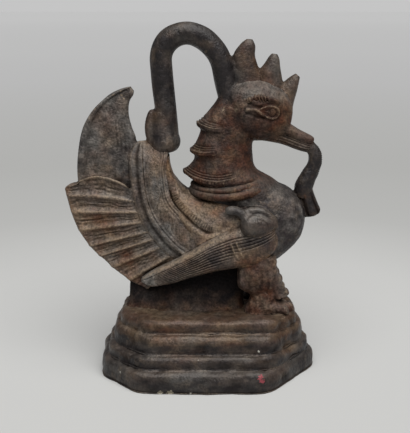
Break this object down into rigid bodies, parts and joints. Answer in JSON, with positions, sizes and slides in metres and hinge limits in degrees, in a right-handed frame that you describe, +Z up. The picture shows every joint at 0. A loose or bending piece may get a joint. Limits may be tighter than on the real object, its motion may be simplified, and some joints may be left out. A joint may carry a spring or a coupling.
{
  "type": "burmese opium weight",
  "caption": "Cast bronze balance weight shaped as a crested bird with a sprig in its bill, standing on a stepped octagonal plinth, with a bent bar handle from tail to nape.",
  "frame": {"origin": "centre of the plinth's flat underside", "axes": "+X the way the bird faces, +Y its left side, +Z up"},
  "size_m": [0.1068, 0.062, 0.1461],
  "materials": {
    "dark_bronze": "cast bronze, near-black handled patina, satin",
    "brown_bronze": "cast bronze, red-brown patina with ochre in the creases, satin to matt",
    "worn_bronze": "cast bronze, brown patina rubbed grey on the ridges, satin"
  },
  "bodies": {
    "root": {"foot_slab": "dark_bronze", "second_slab": "dark_bronze", "third_slab": "dark_bronze", "top_slab": "dark_bronze", "rear_support": "dark_bronze", "body": "brown_bronze", "right_leg": "brown_bronze", "left_leg": "brown_bronze", "right_foot": "brown_bronze", "left_foot": "brown_bronze", "right_wing": "worn_bronze", "left_wing": "worn_bronze", "right_scroll": "worn_bronze", "left_scroll": "worn_bronze", "tail_coverts": "brown_bronze", "tail_cord": "dark_bronze", "tail_fan": "worn_bronze", "tail_plume": "worn_bronze", "handle_cup": "brown_bronze", "handle": "dark_bronze", "neck": "brown_bronze", "upper_ruff": "brown_bronze", "middle_ruff": "brown_bronze", "lower_ruff": "brown_bronze", "necklace": "dark_bronze", "head": "brown_bronze", "rear_prong": "dark_bronze", "middle_prong": "dark_bronze", "front_prong": "dark_bronze", "upper_bill": "brown_bronze", "lower_bill": "brown_bronze", "right_eye": "dark_bronze", "left_eye": "dark_bronze", "right_brow": "dark_bronze", "left_brow": "dark_bronze", "sprig": "brown_bronze", "blossom": "brown_bronze"}
  },
  "joints": []
}
